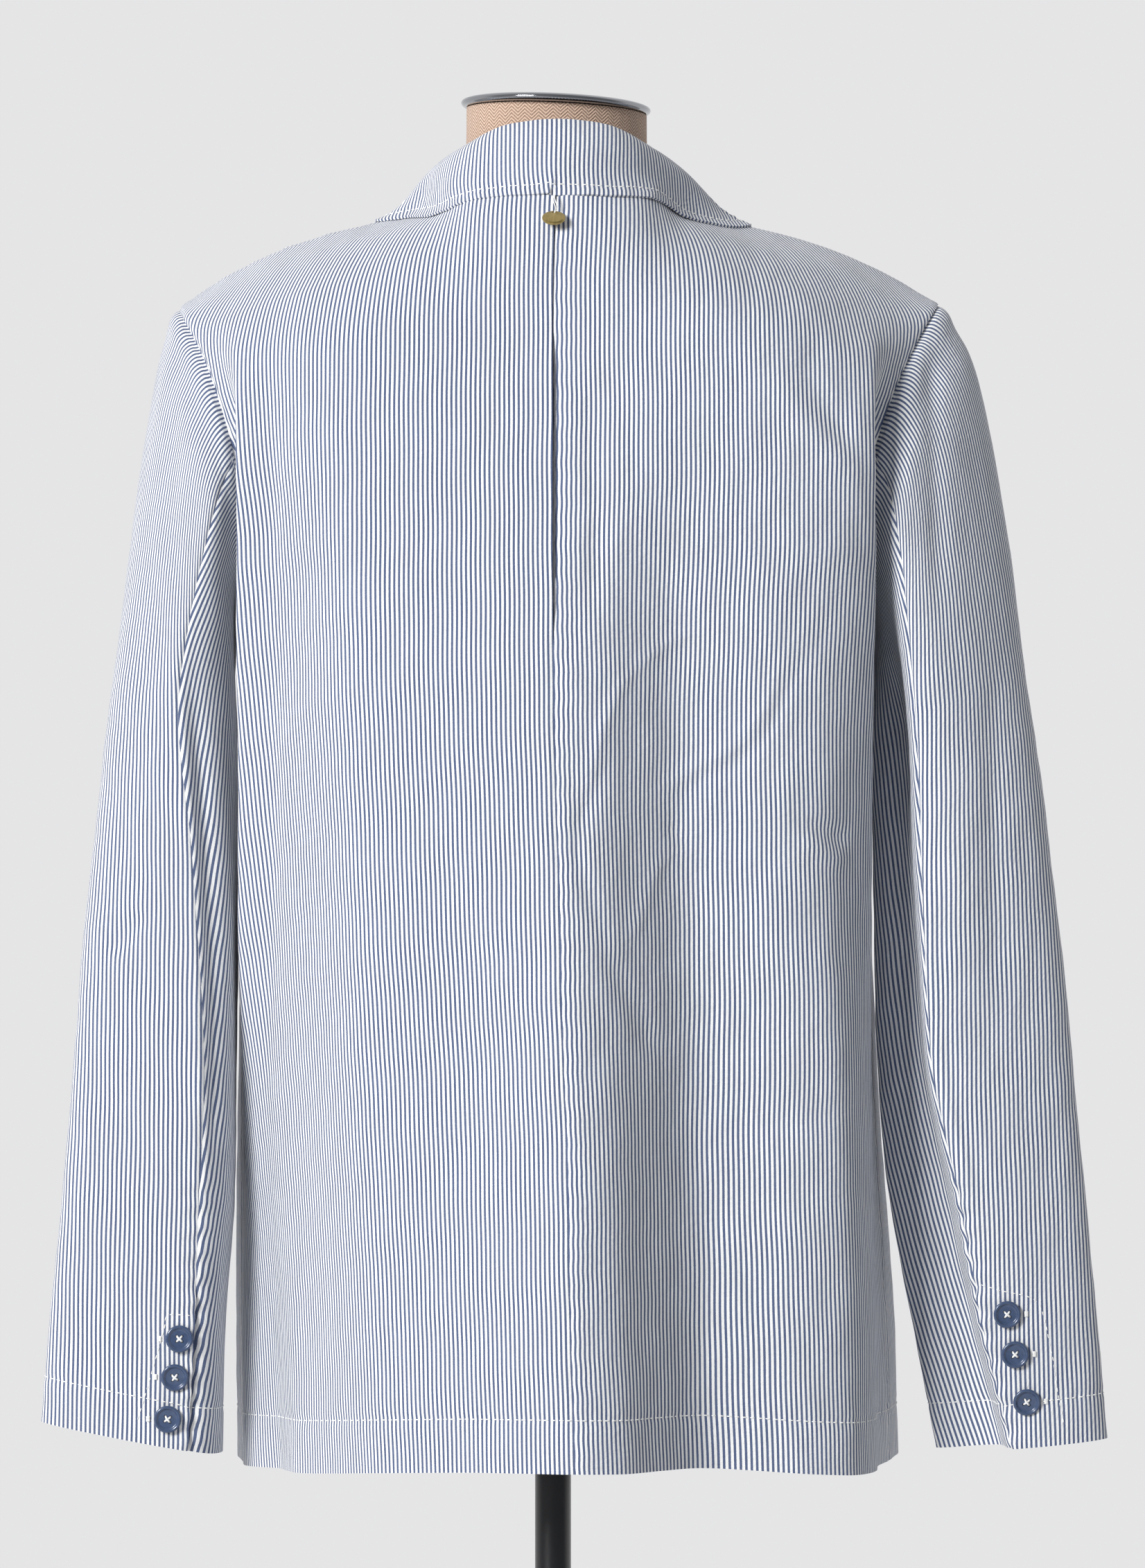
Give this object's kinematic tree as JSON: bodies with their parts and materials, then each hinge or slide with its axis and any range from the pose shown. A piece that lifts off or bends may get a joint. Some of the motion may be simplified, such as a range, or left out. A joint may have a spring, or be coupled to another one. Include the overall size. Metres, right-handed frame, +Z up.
{
  "type": "blazer on a dress form",
  "caption": "Striped summer blazer with a notched collar and buttoned cuffs, worn by a limbless dress form on a pole and a round base.",
  "frame": {"origin": "on the floor, at the middle of the stand's round base", "axes": "+Z up, along the pole; the blazer's back faces -Y and its front +Y; +X is the wearer's right"},
  "size_m": [0.5848, 0.34, 1.3814],
  "materials": {
    "striped_cloth": "crinkled cotton, white with fine blue stripes",
    "button_blue": "slate-blue gloss with a raised rim and four holes",
    "brass": "pale gold, polished, bare",
    "form_linen": "tan linen, woven in a herringbone",
    "chrome": "mirror-polished chrome",
    "black_metal": "black gloss enamel"
  },
  "bodies": {
    "root": {"back_left": "striped_cloth", "back_right": "striped_cloth", "front_left": "striped_cloth", "front_right": "striped_cloth", "upper_sleeve_left": "striped_cloth", "under_sleeve_left": "striped_cloth", "upper_sleeve_right": "striped_cloth", "under_sleeve_right": "striped_cloth", "lapel_left": "striped_cloth", "lapel_right": "striped_cloth", "collar": "striped_cloth", "cuff_button_left_1": "button_blue", "cuff_button_left_2": "button_blue", "cuff_button_left_3": "button_blue", "cuff_button_right_1": "button_blue", "cuff_button_right_2": "button_blue", "cuff_button_right_3": "button_blue", "front_button_1": "button_blue", "front_button_2": "button_blue", "metal_disc": "brass", "form_body": "form_linen", "neck_cap": "chrome", "flange": "black_metal", "pole": "black_metal", "boss": "black_metal", "base": "black_metal"}
  },
  "joints": []
}
